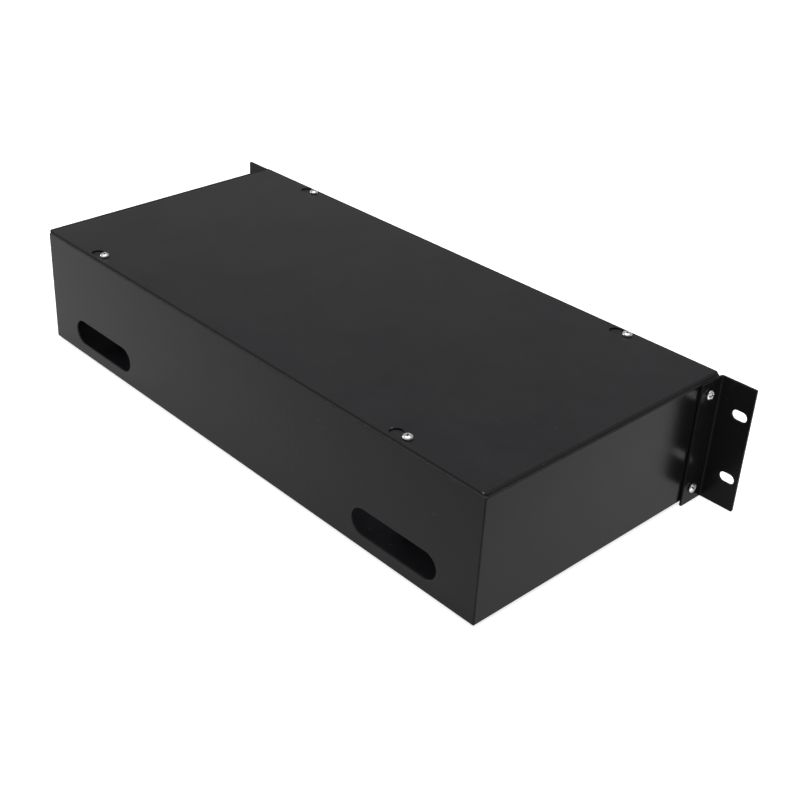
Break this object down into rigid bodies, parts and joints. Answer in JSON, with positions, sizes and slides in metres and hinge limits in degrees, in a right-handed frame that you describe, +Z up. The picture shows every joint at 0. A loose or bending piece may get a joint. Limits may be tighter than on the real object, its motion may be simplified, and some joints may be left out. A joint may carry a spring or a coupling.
{
  "type": "fibre optic terminal box",
  "caption": "Black steel rack-mount fibre optic terminal box with a keyhole top cover, rack ears, a front adapter panel with dust caps, rear cable entries and a lidded splice tray.",
  "frame": {"origin": "centre of the whole object's bounding box, on the plane of the rack ears' lower edges, which are its lowest", "axes": "+Z up; +X along the rack width, to the right of a person who faces the adapters; the adapters face -Y and the cable entries face +Y"},
  "size_m": [0.4826, 0.225, 0.0916],
  "materials": {
    "black_powder": "satin black powder coat",
    "black_ear": "semi-gloss black powder coat",
    "zinc_screw": "bright zinc plate",
    "nickel_brass": "nickel-plated brass",
    "adapter_blue": "moulded, satin",
    "cap_white": "moulded, satin",
    "tray_grey": "moulded, fine grain",
    "lid_clear": "clear sheet",
    "galvanised": "galvanised sheet"
  },
  "bodies": {
    "box": {"chassis": "black_powder", "rack_ear_left": "black_ear", "rack_ear_right": "black_ear", "ear_screw_1": "zinc_screw", "ear_screw_2": "zinc_screw", "ear_screw_3": "zinc_screw", "ear_screw_4": "zinc_screw", "adapter_panel": "black_powder", "panel_screw_1": "zinc_screw", "panel_screw_2": "zinc_screw", "panel_screw_3": "zinc_screw", "panel_screw_4": "zinc_screw", "adapter_01": "adapter_blue", "adapter_02": "adapter_blue", "adapter_03": "adapter_blue", "adapter_04": "adapter_blue", "adapter_05": "adapter_blue", "adapter_06": "adapter_blue", "adapter_07": "adapter_blue", "adapter_08": "adapter_blue", "adapter_09": "adapter_blue", "adapter_10": "adapter_blue", "adapter_11": "adapter_blue", "adapter_12": "adapter_blue", "splice_tray": "tray_grey", "tray_stud_left": "nickel_brass", "tray_stud_right": "nickel_brass", "tray_nut_left": "nickel_brass", "tray_nut_right": "nickel_brass", "cable_anchor_left": "galvanised", "cable_anchor_right": "galvanised", "strength_post_left": "nickel_brass", "strength_post_right": "nickel_brass", "post_screw_left": "zinc_screw", "post_screw_right": "zinc_screw", "earth_stud": "nickel_brass", "earth_nut": "nickel_brass"},
    "cover_fixings": {"cover_screw_1": "zinc_screw", "cover_screw_2": "zinc_screw", "cover_screw_3": "zinc_screw", "cover_screw_4": "zinc_screw"},
    "cover": {"top_cover": "black_powder"},
    "lid": {"tray_lid": "lid_clear"},
    "dust_cap_01": {"dust_cap_01": "cap_white"},
    "dust_cap_02": {"dust_cap_02": "cap_white"},
    "dust_cap_03": {"dust_cap_03": "cap_white"},
    "dust_cap_04": {"dust_cap_04": "cap_white"},
    "dust_cap_05": {"dust_cap_05": "cap_white"},
    "dust_cap_06": {"dust_cap_06": "cap_white"},
    "dust_cap_07": {"dust_cap_07": "cap_white"},
    "dust_cap_08": {"dust_cap_08": "cap_white"},
    "dust_cap_09": {"dust_cap_09": "cap_white"},
    "dust_cap_10": {"dust_cap_10": "cap_white"},
    "dust_cap_11": {"dust_cap_11": "cap_white"},
    "dust_cap_12": {"dust_cap_12": "cap_white"}
  },
  "joints": [
    {"name": "cover_lift", "type": "slide", "parent": "box", "child": "cover_fixings", "axis": [0, 0, 1], "range_m": [0, 0.12]},
    {"name": "cover_slide", "type": "slide", "parent": "cover_fixings", "child": "cover", "axis": [-1, 0, 0], "range_m": [0, 0.0085]},
    {"name": "lid_lift", "type": "slide", "parent": "box", "child": "lid", "axis": [0, 0, 1], "range_m": [0, 0.04]},
    {"name": "dust_cap_01_pull", "type": "slide", "parent": "box", "child": "dust_cap_01", "axis": [0, -1, 0], "range_m": [0, 0.018]},
    {"name": "dust_cap_02_pull", "type": "slide", "parent": "box", "child": "dust_cap_02", "axis": [0, -1, 0], "range_m": [0, 0.018]},
    {"name": "dust_cap_03_pull", "type": "slide", "parent": "box", "child": "dust_cap_03", "axis": [0, -1, 0], "range_m": [0, 0.018]},
    {"name": "dust_cap_04_pull", "type": "slide", "parent": "box", "child": "dust_cap_04", "axis": [0, -1, 0], "range_m": [0, 0.018]},
    {"name": "dust_cap_05_pull", "type": "slide", "parent": "box", "child": "dust_cap_05", "axis": [0, -1, 0], "range_m": [0, 0.018]},
    {"name": "dust_cap_06_pull", "type": "slide", "parent": "box", "child": "dust_cap_06", "axis": [0, -1, 0], "range_m": [0, 0.018]},
    {"name": "dust_cap_07_pull", "type": "slide", "parent": "box", "child": "dust_cap_07", "axis": [0, -1, 0], "range_m": [0, 0.018]},
    {"name": "dust_cap_08_pull", "type": "slide", "parent": "box", "child": "dust_cap_08", "axis": [0, -1, 0], "range_m": [0, 0.018]},
    {"name": "dust_cap_09_pull", "type": "slide", "parent": "box", "child": "dust_cap_09", "axis": [0, -1, 0], "range_m": [0, 0.018]},
    {"name": "dust_cap_10_pull", "type": "slide", "parent": "box", "child": "dust_cap_10", "axis": [0, -1, 0], "range_m": [0, 0.018]},
    {"name": "dust_cap_11_pull", "type": "slide", "parent": "box", "child": "dust_cap_11", "axis": [0, -1, 0], "range_m": [0, 0.018]},
    {"name": "dust_cap_12_pull", "type": "slide", "parent": "box", "child": "dust_cap_12", "axis": [0, -1, 0], "range_m": [0, 0.018]}
  ]
}
